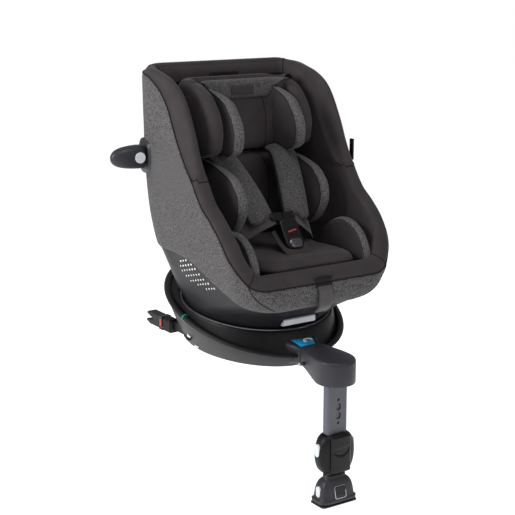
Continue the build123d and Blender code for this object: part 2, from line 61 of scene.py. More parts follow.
# ---------------------------------------------------------------- driving shapes
# seat bucket: height, slope, half width, front, back, front and back corner radii
BUCKET = np.array([
    (113, 0.1655, 169, -190, 143, 165, 165),
    (140, 0.10, 174, -219, 137, 130, 130),
    (172, 0.05, 184, -276, 126, 84, 110),
    (205, 0.02, 197, -284, 122, 64, 105),
    (240, 0.00, 207, -284, 122, 60, 92),
    (300, 0.00, 214, -284, 129, 60, 78),
    (400, 0.00, 215, -284, 144, 60, 70),
    (520, 0.00, 214, -284, 149, 60, 65),
    (640, 0.00, 213, -284, 152, 60, 62),
]) * [MM, 1, MM, MM, MM, MM, MM]
SWIVEL_Y = -24 * MM
# side view (y, z) of the seam between the outer fabric and the dark rim
SEAM = np.array([
    (-286, 203), (-274, 213), (-252, 250), (-232, 280), (-211, 307), (-175, 340), (-139, 367),
    (-99, 417), (-73, 447), (-39, 496), (-2, 560), (30, 592), (57, 608), (84, 620), (108, 624), (132, 627),
    (150, 631), (160, 632),
]) * MM
# how far the rim stands beyond that seam, by y
RIM_RISE = np.array([
    (-286, 15), (-250, 12), (-211, 11), (-139, 13), (-99, 18), (-73, 27), (-39, 39), (-2, 37),
    (40, 22), (80, 11), (110, 9), (160, 9),
]) * MM
# side view of the outer fabric's lower edge
HEM = np.array([
    (-300, 128), (-282, 133), (-250, 158), (-218, 179), (-176, 195), (-137, 212), (-88, 234), (-18, 243),
    (57, 245), (160, 247),
]) * MM
RIM_THICK = 38 * MM
FLOOR_TOP = 221 * MM

COLUMNS = 320


def smooth(x, table):
    """Value at x on a soft curve through the (x, value) rows of a table."""
    xs, ys = table[:, 0], table[:, 1]
    slopes = np.gradient(ys, xs)
    i = np.clip(np.searchsorted(xs, x) - 1, 0, len(xs) - 2)
    step = xs[i + 1] - xs[i]
    t = np.clip((x - xs[i]) / step, 0, 1)
    return (
        (2 * t**3 - 3 * t**2 + 1) * ys[i] + (t**3 - 2 * t**2 + t) * step * slopes[i]
        + (3 * t**2 - 2 * t**3) * ys[i + 1] + (t**3 - t**2) * step * slopes[i + 1]
    )


# ---------------------------------------------------------------- meshes
def mesh(name, points, faces, slots=(0,), material_of=None):
    """A smooth-shaded mesh object from points and faces."""
    data = bpy.data.meshes.new(name)
    data.from_pydata([tuple(p) for p in points], [], faces)
    data.validate()
    for material in slots:
        data.materials.append(material)
    if material_of is not None:
        data.polygons.foreach_set("material_index", material_of)
    data.polygons.foreach_set("use_smooth", [True] * len(data.polygons))
    piece = bpy.data.objects.new(name, data)
    bpy.context.scene.collection.objects.link(piece)
    return piece


def grid_faces(rows, columns, round_columns=True, round_rows=False):
    """Quads of a grid whose points are stored row by row."""
    faces = []
    for r in range(rows if round_rows else rows - 1):
        below = (r + 1) % rows
        for c in range(columns if round_columns else columns - 1):
            right = (c + 1) % columns
            faces.append((r * columns + c, r * columns + right, below * columns + right, below * columns + c))
    return faces


def skin(name, grid, material, caps=(False, False), **closed):
    """One surface through a (rows, columns, 3) grid of points, with flat caps where asked."""
    grid = np.asarray(grid)
    rows, columns = grid.shape[:2]
    faces = grid_faces(rows, columns, **closed)
    if caps[0]:
        faces.append(tuple(range(columns))[::-1])
    if caps[1]:
        faces.append(tuple((rows - 1) * columns + c for c in range(columns)))
    materials = material if isinstance(material, (list, tuple)) else [material]
    return mesh(name, grid.reshape(-1, 3), faces, materials)


def face_outward(piece):
    """Recalculate a closed piece's normals."""
    edit = bmesh.new()
    edit.from_mesh(piece.data)
    bmesh.ops.recalc_face_normals(edit, faces=edit.faces)
    edit.to_mesh(piece.data)
    edit.free()
    return piece


def superellipse(half_x, half_y, power, centre, z, count=96):
    """A squarish rounded loop in plan."""
    loop = []
    for a in np.linspace(0, 2 * math.pi, count, endpoint=False):
        c, d = math.cos(a), math.sin(a)
        loop.append((centre[0] + half_x * abs(c) ** (2 / power) * math.copysign(1, c),
                     centre[1] + half_y * abs(d) ** (2 / power) * math.copysign(1, d), z))
    return loop


def rounded_loop(centre, half, radius, z, count=96):
    """A rounded rectangle in plan."""
    hx, hy = half
    radius = min(radius, hx, hy)
    corners = ((hx - radius, hy - radius, 0), (radius - hx, hy - radius, 90),
               (radius - hx, radius - hy, 180), (hx - radius, radius - hy, 270))
    loop = []
    for x, y, start in corners:
        for k in range(count // 4):
            a = math.radians(start + 90 * k / (count // 4 - 1))
            loop.append((centre[0] + x + radius * math.cos(a), centre[1] + y + radius * math.sin(a), z))
    return loop


def rounded_plate(name, half_x, half_y, radius, thick, material):
    """A small plate, in millimetres, with a rounded outline and domed edges, flat in its own XY plane."""
    rows = []
    for lift, inset in ((0, 1), (0, 0.3), (0.25, 0), (0.7, 0), (0.92, 0.35), (1, 1)):
        shrink = inset * thick * 0.8
        rows.append(rounded_loop((0, 0), (half_x - shrink, half_y - shrink), max(radius - shrink, 0.4),
                                 lift * thick, 64))
    return face_outward(skin(name, np.array(rows) * MM, material, caps=(True, True)))


def stand(plate, place, *axes):
    """Turn and move a plate: place is in millimetres, and the axes are the rows of its rotation."""
    plate.data.transform(Matrix.Translation(Vector(place) * MM) @ Matrix(axes).to_4x4())
    return face_outward(plate)


def modifier(piece, kind, **settings):
    """Add one modifier with its settings."""
    added = piece.modifiers.new(kind.title(), kind)
    for key, value in settings.items():
        setattr(added, key, value)
    return added


def soften(piece, width, segments=3, angle=35):
    """Round the sharp edges of a piece with a hard shape."""
    modifier(piece, "WELD", merge_threshold=1e-5)
    modifier(
        piece, "BEVEL", width=width, segments=segments, limit_method="ANGLE",
        angle_limit=math.radians(angle), harden_normals=False, use_clamp_overlap=True,
    )
    modifier(piece, "WEIGHTED_NORMAL", keep_sharp=False, weight=90)


def thread(name, points, radius, material, body, closed=False):
    """A thin round cord laid along points, such as a seam or a piping."""
    curve = bpy.data.curves.new(name, "CURVE")
    curve.dimensions = "3D"
    curve.bevel_depth = radius
    curve.bevel_resolution = 2
    spline = curve.splines.new("POLY")
    spline.points.add(len(points) - 1)
    for slot_point, p in zip(spline.points, points):
        slot_point.co = (*p, 1)
    spline.use_cyclic_u = closed
    curve.materials.append(material)
    piece = bpy.data.objects.new(name, curve)
    bpy.context.scene.collection.objects.link(piece)
    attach(piece, body)
    return piece


def fit(piece, body, slot, *nodes):
    """Attach one piece to the body it rides and hide the CAD nodes it stands for; its finish, slot, is not
    used.
    """
    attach(piece, body)
    if nodes:
        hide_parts(*nodes)


def between(p0, p1, p2, p3, t):
    """The point a share t of the way from p1 to p2 on a soft curve through four points."""
    return 0.5 * (2 * p1 + (p2 - p0) * t + (2 * p0 - 5 * p1 + 4 * p2 - p3) * t**2
                  + (3 * p1 - p0 - 3 * p2 + p3) * t**3)


# ---------------------------------------------------------------- materials
class Shader:
    """A new material with its node tree and the Principled shader at hand."""

    def __init__(self, name, **sockets):
        self.material = bpy.data.materials.new(name)
        self.material.use_nodes = True
        self.nodes = self.material.node_tree.nodes
        self.links = self.material.node_tree.links
        self.shader = self.nodes["Principled BSDF"]
        for key, value in sockets.items():
            self.shader.inputs[key.replace("_", " ")].default_value = value
        self.place = self.nodes.new("ShaderNodeTexCoord").outputs["Object"]

    def node(self, kind, **inputs):
        made = self.nodes.new(kind)
        for key, value in inputs.items():
            socket = made.inputs[key.replace("_", " ")]
            if isinstance(value, bpy.types.NodeSocket):
                self.links.new(value, socket)
            else:
                socket.default_value = value
        return made

    def noise(self, scale, detail=2.0, roughness=0.5):
        return self.node(
            "ShaderNodeTexNoise", Vector=self.place, Scale=scale, Detail=detail, Roughness=roughness
        ).outputs["Fac"]

    def ramp(self, value, stops):
        made = self.node("ShaderNodeValToRGB", Fac=value)
        elements = made.color_ramp.elements
        while len(elements) < len(stops):
            elements.new(0.5)
        for element, (position, colour) in zip(elements, stops):
            element.position = position
            element.color = (*colour, 1)
        return made.outputs["Color"]

    def bump(self, height, strength, distance, under=None):
        made = self.node("ShaderNodeBump", Height=height, Strength=strength, Distance=distance)
        if under is not None:
            self.links.new(under, made.inputs["Normal"])
        return made.outputs["Normal"]

    def use(self, output, socket):
        self.links.new(output, self.shader.inputs[socket])


def grey(level, tint=(1, 1, 1)):
    return tuple(level * t for t in tint)


WARM = (1.14, 0.95, 0.99)
NEUTRAL = (1.03, 0.985, 1.0)


def heather(name, dark, light, scale=470):
    """Two-tone flecked cloth."""
    s = Shader(name, Roughness=0.95, Sheen_Weight=0.06, Sheen_Roughness=0.5, Specular_IOR_Level=0.2)
    flecks = s.noise(scale, detail=2.0, roughness=0.7)
    s.use(s.ramp(flecks, [(0.38, grey(dark, NEUTRAL)), (0.5, grey((dark + light) / 2, NEUTRAL)),
                          (0.62, grey(light, NEUTRAL))]), "Base Color")
    weave = s.bump(s.noise(1500, detail=1.0), 0.5, 0.0005)
    s.use(s.bump(s.noise(12, detail=1.0), 0.2, 0.003, weave), "Normal")
    return s.material


def knit(name, level, tint=WARM, sheen=0.12):
    """Plain soft dark cloth with a fine knit."""
    s = Shader(name, Roughness=0.85, Sheen_Weight=sheen, Sheen_Roughness=0.35, Specular_IOR_Level=0.25)
    shade = s.noise(30, detail=3.0)
    s.use(s.ramp(shade, [(0.3, grey(level * 0.88, tint)), (0.7, grey(level * 1.12, tint))]), "Base Color")
    ribs = s.bump(s.noise(1900, detail=1.0), 0.35, 0.0004)
    s.use(s.bump(s.noise(14, detail=2.0), 0.35, 0.004, ribs), "Normal")
    return s.material


def plastic(name, colour, roughness, grain=0.22, spread=0.06, gloss=0.3):
    """Moulded plastic with a fine spark-eroded grain."""
    s = Shader(name, Roughness=roughness, Specular_IOR_Level=gloss)
    shade = s.noise(60, detail=4.0)
    s.use(s.ramp(shade, [(0.3, grey(1 - spread, colour)), (0.7, grey(1 + spread, colour))]), "Base Color")
    worn = s.node("ShaderNodeMapRange", Value=s.noise(25, detail=3.0))
    worn.inputs["To Min"].default_value = roughness - 0.05
    worn.inputs["To Max"].default_value = roughness + 0.07
    s.use(worn.outputs["Result"], "Roughness")
    s.use(s.bump(s.noise(2400, detail=1.0), grain, 0.0003), "Normal")
    return s.material


def metal(name, colour, roughness, metallic):
    """Painted or plated metal with faint drawing lines."""
    s = Shader(name, Roughness=roughness, Metallic=metallic)
    shade = s.noise(90, detail=4.0)
    s.use(s.ramp(shade, [(0.3, grey(0.93, colour)), (0.7, grey(1.07, colour))]), "Base Color")
    s.use(s.bump(s.noise(700, detail=2.0), 0.12, 0.0002), "Normal")
    return s.material


def webbing_cloth(name, level):
    """Ribbed harness webbing."""
    s = Shader(name, Roughness=0.62, Sheen_Weight=0.2)
    ribs = s.node("ShaderNodeTexWave", Vector=s.place, Scale=260.0, Distortion=0.6, Detail=1.0)
    s.use(s.ramp(s.noise(300, detail=3.0), [(0.3, grey(level * 0.8, WARM)), (0.7, grey(level * 1.2, WARM))]),
          "Base Color")
    s.use(s.bump(ribs.outputs["Fac"], 0.4, 0.0005), "Normal")
    return s.material


HEATHER = heather("heather_fabric", 0.018, 0.125)
# A darker copy of the same flecked cloth for the headrest's front panel and the shoulder pads: painted shade
# on the same cloth.
HEATHER_SHADED = heather("heather_shaded_fabric", 0.018, 0.10)
CHARCOAL = knit("charcoal_fabric", 0.028)
CHARCOAL_PALE = knit("piping_fabric", 0.045)
# Near-black cord colour for seam and piping lines: painted seam shade, standing in for the shadow that falls
# in each groove of a real seam or piping.
SEAM_SHADE_CORD = knit("seam_shadow", 0.004, sheen=0.0)
WEBBING = webbing_cloth("harness_webbing", 0.03)
CASING = plastic("casing_plastic", (0.0225, 0.0215, 0.027), 0.42)
# A darker copy of the casing plastic: painted shade on the same plastic, used on the base skirt, the seat's
# lower shell, the recline saddle and the ISOFIX connectors.
CASING_SHADED = plastic("casing_shaded_plastic", (0.009, 0.0085, 0.0108), 0.46, gloss=0.2)
BASIN = plastic("basin_plastic", (0.0042, 0.004, 0.0046), 0.42, gloss=0.2)
BLACK = plastic("black_plastic", (0.0042, 0.004, 0.0048), 0.42, gloss=0.2)
BLACK_SMOOTH = plastic("smooth_black_plastic", (0.0042, 0.004, 0.0048), 0.3, grain=0.05, gloss=0.22)
BUTTON = plastic("button_plastic", (0.60, 0.63, 0.66), 0.45, grain=0.08, spread=0.02)
TUBE = metal("leg_tube_paint", (0.078, 0.078, 0.098), 0.42, 0.35)
STEEL = metal("zinc_steel", (0.33, 0.33, 0.34), 0.35, 1.0)
SILVER = metal("silver_trim", (0.30, 0.30, 0.32), 0.32, 0.8)
NOSE = metal("buckle_nose_lacquer", (0.10, 0.10, 0.11), 0.2, 0.9)
RUBBER = plastic("sole_rubber", (0.045, 0.045, 0.05), 0.8)
RED = plastic("red_plastic", (0.55, 0.035, 0.03), 0.4, spread=0.03)
GREEN = plastic("green_plastic", (0.0, 0.36, 0.22), 0.4, spread=0.03)
BLUE = plastic("blue_label", (0.0, 0.27, 0.56), 0.4, grain=0.03, spread=0.03)
WHITE = plastic("white_mark", (0.80, 0.80, 0.80), 0.5, grain=0.03, spread=0.02)
FOAM = plastic("foam_beads", (0.85, 0.85, 0.85), 0.85, grain=0.5)


# ---------------------------------------------------------------- bucket surface
def bucket(along, height, inset=0.0):
    """Points on the bucket: along runs 0..1 round it from the middle of the back, height is the level."""
    along, height, inset = np.broadcast_arrays(along, height, inset)
    slope, half, front, back, front_r, back_r = (
        smooth(height, BUCKET[:, [0, k]]) for k in range(1, 7)
    )
    half, front, back = half - inset, front + inset, back - inset
    front_r, back_r = np.maximum(front_r - inset, 0.014), np.maximum(back_r - inset, 0.014)
    side = np.where(along < 0.5, 1.0, -1.0)
    w = 2 * np.where(along < 0.5, along, 1 - along)
    parts = [0, 0.19, 0.31, 0.69, 0.81, 1.0]
    t = [np.clip((w - a) / (b - a), 0, 1) for a, b in zip(parts, parts[1:])]
    back_turn, front_turn = (1 - t[1]) * math.pi / 2, -t[3] * math.pi / 2
    x = np.select(
        [w < parts[1], w < parts[2], w < parts[3], w < parts[4]],
        [t[0] * (half - back_r), half - back_r + back_r * np.cos(back_turn), half,
         half - front_r + front_r * np.cos(front_turn)],
        (1 - t[4]) * (half - front_r),
    )
    y = np.select(
        [w < parts[1], w < parts[2], w < parts[3], w < parts[4]],
        [back, back - back_r + back_r * np.sin(back_turn),
         (back - back_r) + t[2] * (front + front_r - back + back_r),
         front + front_r + front_r * np.sin(front_turn)],
        front,
    )
    return np.stack([side * x, y, height + slope * (y - SWIVEL_Y)], axis=-1)


def level_of(along, line):
    """The height at which each column of the bucket crosses a side-view line."""
    low, high = np.full(len(along), 0.114), np.full(len(along), 0.64)
    for _ in range(36):
        middle = (low + high) / 2
        point = bucket(along, middle)
        above = point[:, 2] > smooth(point[:, 1], line)
        low, high = np.where(above, low, middle), np.where(above, middle, high)
    return (low + high) / 2


along = np.arange(COLUMNS) / COLUMNS
seam_level = level_of(along, SEAM)
hem_level = level_of(along, HEM)
seam_points = bucket(along, seam_level)


def closed_curve(points, rounds=2):
    """Soften a closed line of points a little."""
    for _ in range(rounds):
        points = (np.roll(points, 1, 0) + 2 * points + np.roll(points, -1, 0)) / 4
    return points


def outer_cover():
    """The flecked outer cover, from its hem to the seam, with both edges tucked in."""
    steps = np.concatenate([[0, 0.004, 0.012], np.linspace(0.03, 0.96, 54), [0.975, 0.986, 0.994, 1]])
    rows = [bucket(along, hem_level + 2 * MM, 5 * MM)]
    for t in steps:
        level = hem_level + (seam_level - hem_level) * t
        edge = (seam_level - hem_level) * (1 - t) / (4 * MM)
        hem = (seam_level - hem_level) * t / (2.5 * MM)
        inset = 2.6 * MM * np.exp(-edge**2) + 2.5 * MM * np.exp(-hem**2)
        rows.append(bucket(along, level, inset))
    return skin("outer_cover", rows, HEATHER)


SLEEVE_HEM = 416 * MM
ARCH_ROWS, WALL_ROWS = 30, 44


def rim_grid():
    """Points of the dark rim that wraps the bucket's edge, and of the lining inside."""
    tangent = np.roll(seam_points, -1, 0) - np.roll(seam_points, 1, 0)
    inner = bucket(along, seam_level, RIM_THICK)
    across = inner - seam_points
    front = np.clip((-seam_points[:, 1] - 0.215) / 0.06, 0, 1)
    inner[:, 2] += 17 * MM * front
    beyond = np.cross(tangent, across)
    beyond /= np.linalg.norm(beyond, axis=1)[:, None]
    beyond = closed_curve(np.where(beyond[:, 2:3] < 0, -beyond, beyond), 6)
    beyond /= np.linalg.norm(beyond, axis=1)[:, None]
    unit = across / np.linalg.norm(across, axis=1)[:, None]
    rise = smooth(seam_points[:, 1], RIM_RISE)
    sleeve = 3.4 * MM * np.clip((seam_points[:, 2] - SLEEVE_HEM) / (3 * MM), 0, 1)
    start = bucket(along, seam_level, 2.8 * MM)
    rows = []
    crest = 0.6
    for turn in np.linspace(0, math.pi, ARCH_ROWS):
        swing = (1 - math.cos(turn)) / 2
        reach = (crest - swing) / crest if swing < crest else (swing - crest) / (1 - crest)
        height = (1 - min(reach, 1) ** 2.5) ** (1 / 2.2)
        spread = -sleeve * math.cos(turn) * min(1.0, 6 * math.sin(turn))
        middle = start * (1 - swing) + inner * swing
        rows.append(middle + beyond * ((rise + sleeve) * height)[:, None] - unit * spread[:, None])
    top = inner[:, 2]
    for t in np.linspace(0.03, 1, WALL_ROWS):
        drop = np.maximum(top - FLOOR_TOP + 4 * MM, 1 * MM) * t
        wall = bucket(along, np.maximum(seam_level - drop, 0.2), RIM_THICK)
        wall[:, 2] = top - drop
        inside = sleeve * np.clip((wall[:, 2] - SLEEVE_HEM - 2 * MM) / (3 * MM), 0, 1)
        rows.append(wall + unit * (inside * np.clip(1.15 - drop / (70 * MM), 0, 1))[:, None])
    return np.array(rows)


def shade_seam_line(name, points, radius=1.0, body="seat"):
    """A near-black cord of painted seam shade lying along points of a surface, with its radius in millimetres.
    """
    thread(name, points, radius * MM, SEAM_SHADE_CORD, body)


cover = outer_cover()
fit(cover, "seat", "heather_fabric", "seat_cover")
rim_points = rim_grid()
rim = skin("rim_and_lining", rim_points, CHARCOAL)
fit(rim, "seat", "charcoal_fabric", "cover_lining", "foam_liner", "seat_shell")
# The seam round the rim, drawn as a near-black cord of painted seam shade.
thread("rim_seam", bucket(along, seam_level, 2.0 * MM), 1.3 * MM, SEAM_SHADE_CORD, "seat", closed=True)


def column_at(share, right):
    """The bucket's column at a share of the way from the middle of its back to that of its front."""
    place = share / 2 if not right else 1 - share / 2
    return int(round(place * COLUMNS)) % COLUMNS


# Corner, panel, band and hem seams on each side, each drawn as a near-black cord of painted seam shade.
for word, right in (("right", True), ("left", False)):
    corner = column_at(0.755, right)
    shade_seam_line(f"lip_corner_seam_{word}", rim_points[:ARCH_ROWS + 3, corner])
    panel = [bucket(np.array([(corner + (-6 if right else 6) * t**2) / COLUMNS]),
                    hem_level[corner:corner + 1] * t + seam_level[corner:corner + 1] * (1 - t))[0]
             for t in np.linspace(0.02, 0.98, 16)]
    shade_seam_line(f"front_panel_seam_{word}", panel)
    shade_seam_line(f"top_band_seam_{word}", rim_points[:ARCH_ROWS + 6, column_at(0.235, right)])
    half = rim_points[:ARCH_ROWS + 2, COLUMNS // 2:] if right else rim_points[:ARCH_ROWS + 2, :COLUMNS // 2]
    near_hem = np.abs(half[:, :, 2] - SLEEVE_HEM) + np.where(half[:, :, 1] > 0, 1, 0)
    hem_line = [row[int(np.argmin(gap))] for row, gap in zip(half, near_hem)]
    shade_seam_line(f"sleeve_hem_{word}", hem_line[1:], 1.1)


# ---------------------------------------------------------------- padded pieces
PAD_ROWS = 48
PAD_PATH, PAD_CAP = 88, 16               # points along a pad's side and round its front end


def soft(piece, body, fill, slot, *nodes):
    """Attach one padded piece to its body and hide its CAD nodes; how full it is, fill, is not used."""
    fit(piece, body, slot, *nodes)


def u_path(width, depth, corner, y_back):
    """Plan points from the right arm's front end round the back to the left arm's, and their directions."""
    half = width / 2
    arm, turn = depth - corner, corner * math.pi / 2
    total = 2 * (arm + turn + half - corner)
    points, headings = [], []
    for d in np.linspace(0, total, PAD_PATH):
        if d < arm:
            p, a = (-half, y_back - depth + d), math.pi / 2
        elif d < arm + turn:
            a = math.pi / 2 - (d - arm) / corner
            p = (-half + corner - corner * math.sin(a), y_back - corner + corner * math.cos(a))
        elif d < total - arm - turn:
            p, a = (-half + corner + d - arm - turn, y_back), 0.0
        elif d < total - arm:
            a = -(d - (total - arm - turn)) / corner
            p = (half - corner - corner * math.sin(a), y_back - corner + corner * math.cos(a))
        else:
            p, a = (half, y_back - (d - (total - arm))), -math.pi / 2
        points.append(p)
        headings.append(a)
    return np.array(points), np.array(headings)


def u_pad(name, width, y_back, corner, arm_thick, back_thick, front_line, z_low, z_high,
          lean=0.0375, toe=0, banded=False):
    """A padded U that wraps the child: arms at both sides, a back, a rounded front end on each arm.

    In millimetres. front_line is the side view (z, y) of the arms' front ends, and toe is how much
    wider the arms stand at the back. Banded front ends are flecked. Returns the piece and its grid
    of points, whose columns run along the outside, round an end, and back inside."""
    grid = []
    for turn in np.linspace(0, math.pi, PAD_ROWS):
        v = 0.5 - 0.5 * math.cos(turn)
        z = z_low + (z_high - z_low) * v
        y_front = float(smooth(np.array([z]), np.array(front_line))[0])
        y_rear = y_back + lean * (z - z_low)
        fullness = max(1 - abs(2 * v - 1) ** 7, 0.0) ** (1 / 2.2)
        depth = max(y_rear - y_front - arm_thick / 2, corner + 2)
        plan, heading = u_path(width, depth, corner, y_rear)
        widen = np.clip((plan[:, 1] - (y_rear - depth)) / 150, 0, 1) * toe
        plan[:, 0] *= 1 + widen / (width / 2)
        thick = arm_thick + (back_thick - arm_thick) * np.abs(np.cos(heading)) ** 2
        thick = thick / 2 * max(fullness, 0.02)
        normal = np.stack([-np.sin(heading), np.cos(heading)], axis=1) * thick[:, None]
        outer, inner, ends = plan + normal, plan - normal, []
        for k, start in ((-1, heading[-1]), (0, heading[0] + math.pi)):
            for q in range(1, PAD_CAP):
                b = start + math.pi / 2 - math.pi * q / PAD_CAP
                ends.append(plan[k] + thick[k] * np.array([math.cos(b), math.sin(b)]))
        loop = list(outer) + ends[: PAD_CAP - 1] + list(inner[::-1]) + ends[PAD_CAP - 1:]
        grid.append([(p[0], p[1], z) for p in loop])
    grid = np.array(grid) * MM
    piece = skin(name, grid, [CHARCOAL, HEATHER] if banded else CHARCOAL, caps=(True, True))
    if banded:
        columns = grid.shape[1]
        in_band = set(range(PAD_PATH - 1, PAD_PATH + PAD_CAP - 1))
        in_band |= set(range(2 * PAD_PATH + PAD_CAP - 2, columns))
        piece.data.polygons.foreach_set("material_index", [
            int(i < (PAD_ROWS - 1) * columns and (i % columns) in in_band)
            for i in range(len(piece.data.polygons))
        ])
    return face_outward(piece), grid


def band_seams(name, grid, body):
    """Piping lines where a pad's front band meets its sides, drawn near-black as painted seam shade."""
    for k, column in enumerate((PAD_PATH - 1, PAD_PATH + PAD_CAP - 1, 2 * PAD_PATH + PAD_CAP - 2, 0)):
        shade_seam_line(f"{name}_{k + 1}", grid[2:-2, column], 0.9, body=body)


headrest, headrest_grid = u_pad("headrest_cover", 262, 76, 46, 36, 34, [
    (446, -30), (455, -58), (487, -80), (520, -80), (560, -58), (590, -24), (604, 8), (612, 50),
], 446, 612, toe=17)
soft(headrest, "headrest", 0.8, "charcoal_fabric", "headrest_pad")

head_insert, head_insert_grid = u_pad("head_insert_cover", 178, 44, 24, 24, 26, [
    (447, -60), (458, -88), (485, -104), (516, -102), (545, -84), (572, -50), (584, -10), (590, 20),
], 447, 590, banded=True)
soft(head_insert, "headrest", 0.8, "charcoal_fabric", "head_insert")
band_seams("head_insert_piping", head_insert_grid, "headrest")

body_insert, body_insert_grid = u_pad("body_insert_cover", 240, 52, 34, 22, 44, [
    (262, -40), (290, -118), (325, -156), (360, -166), (395, -150), (420, -112), (433, -60), (440, -10),
], 260, 440, lean=0.04, banded=True)
soft(body_insert, "seat", 0.8, "charcoal_fabric", "insert_back_pad")
band_seams("body_insert_piping", body_insert_grid, "seat")


def headrest_details():
    """Arm seams, top piping, the flecked panel at the top and a blank fabric tab on it."""
    # Arm seams, drawn as near-black cords of painted seam shade.
    for steps, word in ((22, "rear"), (14, "front")):
        for side, column in (("right", steps), ("left", PAD_PATH - 1 - steps)):
            shade_seam_line(f"headrest_{word}_seam_{side}", headrest_grid[2:-3, column], 0.8, body="headrest")
    inner_top = headrest_grid[-4, PAD_PATH + PAD_CAP - 1: 2 * PAD_PATH + PAD_CAP - 1]
    thread("headrest_top_piping", inner_top, 1.6 * MM, CHARCOAL_PALE, "headrest")
    u = np.linspace(-1, 1, 56)
    front, back = [], []
    for v in np.linspace(0, 1, 14):
        z = 563 + 44 * v
        x = u * (76 + 40 * v**1.3)
        y = 36 + 0.0375 * (z - 446) - np.maximum(np.abs(x) - 78, 0) ** 2 / 52
        puff = 11 * np.maximum((1 - abs(2 * v - 1) ** 6) * (1 - np.abs(u) ** 14), 0) ** 0.4
        front.append(np.stack([x, y - puff, np.full(len(u), z)], axis=1) * MM)
        back.append(np.stack([x, y + 3, np.full(len(u), z)], axis=1) * MM)
    loops = [np.concatenate([f, b[::-1]]) for f, b in zip(front, back)]
    panel = skin("headrest_front_panel", loops, HEATHER_SHADED, caps=(True, True))
    soft(face_outward(panel), "headrest", 0.8, "heather_fabric")
    for k, column in enumerate((1, -2)):
        shade_seam_line(f"headrest_panel_seam_{k + 1}", [row[column] for row in front[1:-1]], 0.9, body="headrest")
    tab = rounded_plate("headrest_tab", 30, 9, 4, 2.4, CHARCOAL)
    tab.location = (0, 28.5 * MM, 584 * MM)
    tab.rotation_euler = (math.radians(88), 0, 0)
    fit(tab, "headrest", "charcoal_fabric")


def cushion(name, centre, size, radius):
    """A crowned closed pad, in millimetres: its sides are full and pull in at top and bottom."""
    grid, power = [], 2.4
    for turn in np.linspace(0, math.pi, 28):
        lift = -math.cos(turn)
        inset = (1 - (1 - min(abs(lift), 1) ** power) ** (1 / power)) * size[2] / 2
        grid.append(rounded_loop(centre, (size[0] / 2 - inset, size[1] / 2 - inset), max(radius - inset, 2),
                                 centre[2] + lift * size[2] / 2, 144))
    return face_outward(skin(name, np.array(grid) * MM, CHARCOAL, caps=(True, True)))


CLOTH_FRAMES = 20


def swell(piece, cap):
    """Fill a pad like sewn cloth: a pressurised cloth run, with each point kept within cap of its start."""
    scene = bpy.context.scene
    modifier(piece, "REMESH", mode="VOXEL", voxel_size=5 * MM, use_smooth_shade=True)
    piece.data = bpy.data.meshes.new_from_object(piece.evaluated_get(bpy.context.evaluated_depsgraph_get()))
    piece.modifiers.clear()
    start = np.array([v.co for v in piece.data.vertices])
    cloth = piece.modifiers.new("Cloth", "CLOTH")
    cloth.settings.use_pressure = True
    cloth.settings.uniform_pressure_force = 4
    cloth.settings.effector_weights.gravity = 0
    cloth.point_cache.frame_end = CLOTH_FRAMES
    for moment in range(CLOTH_FRAMES):
        scene.frame_set(moment + 1)
    filled = piece.evaluated_get(bpy.context.evaluated_depsgraph_get()).to_mesh()
    move = np.array([v.co for v in filled.vertices]) - start
    length = np.linalg.norm(move, axis=1)[:, None]
    move *= np.minimum(1, cap / np.maximum(length, 1e-9))
    piece.modifiers.clear()
    piece.data.vertices.foreach_set("co", (start + move).ravel())
    piece.data.polygons.foreach_set("use_smooth", [True] * len(piece.data.polygons))
    modifier(piece, "SUBSURF", levels=1, render_levels=1)
    scene.frame_set(1)


def lie_on(piece, loop, lift):
    """Move each point of a level loop in towards its middle until it lies on the piece."""
    faces = [f.vertices for f in piece.data.polygons]
    tree = BVHTree.FromPolygons([v.co for v in piece.data.vertices], faces)
    middle = Vector(np.mean(loop, axis=0))
    laid = []
    for point in loop:
        inward = (middle - Vector(point)).normalized()
        hit = tree.ray_cast(Vector(point) - inward * 0.05, inward)[0]
        laid.append(tuple(hit - inward * lift))
    return laid


headrest_details()
floor = cushion("seat_floor_cover", (0, -84, 205), (334, 356, 30), 40)
soft(floor, "seat", 0.7, "charcoal_fabric", "seat_cushion")
insert_seat = cushion("seat_insert_cover", (0, -104, 233), (254, 304, 25), 44)
swell(insert_seat, 6 * MM)
soft(insert_seat, "seat", 0.75, "charcoal_fabric", "insert_seat_pad")
insert_edge = lie_on(insert_seat, np.array(rounded_loop((0, -104), (127, 152), 44, 233, 144)) * MM, 1 * MM)
# The insert's piping, drawn as a near-black cord of painted seam shade.
thread("seat_insert_piping", insert_edge, 2 * MM, SEAM_SHADE_CORD, "seat", closed=True)


